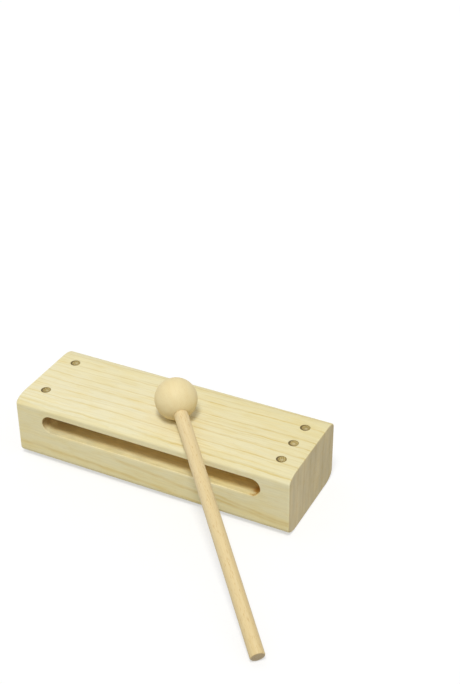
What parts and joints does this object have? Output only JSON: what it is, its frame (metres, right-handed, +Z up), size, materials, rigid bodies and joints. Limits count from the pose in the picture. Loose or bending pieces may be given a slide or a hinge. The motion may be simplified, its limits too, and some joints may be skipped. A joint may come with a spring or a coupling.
{
  "type": "woodblock",
  "caption": "Hollowed rectangular wooden percussion block with a long sound slot in its front, pinned ends, and a ball-headed wooden beater laid across it to strike it.",
  "frame": {"origin": "centre of the block's flat underside", "axes": "+X along the block towards the end with the row of pins, -Y out of the sound slot, +Z up"},
  "size_m": [0.2079, 0.1581, 0.0667],
  "materials": {
    "block_wood": "smooth sanded, clear matt lacquer",
    "dowel_wood": "end grain sanded flush, clear matt lacquer",
    "beater_wood": "turned smooth, clear satin lacquer"
  },
  "bodies": {
    "block": {"block_body": "block_wood", "dowel_left_front": "dowel_wood", "dowel_left_rear": "dowel_wood", "dowel_right_front": "dowel_wood", "dowel_right_middle": "dowel_wood", "dowel_right_rear": "dowel_wood"},
    "beater": {"beater_head": "beater_wood", "beater_stick": "beater_wood"}
  },
  "joints": [
    {"name": "beater_lift", "type": "slide", "parent": "block", "child": "beater", "axis": [0, 0, 1], "range_m": [0, 0.1]}
  ]
}
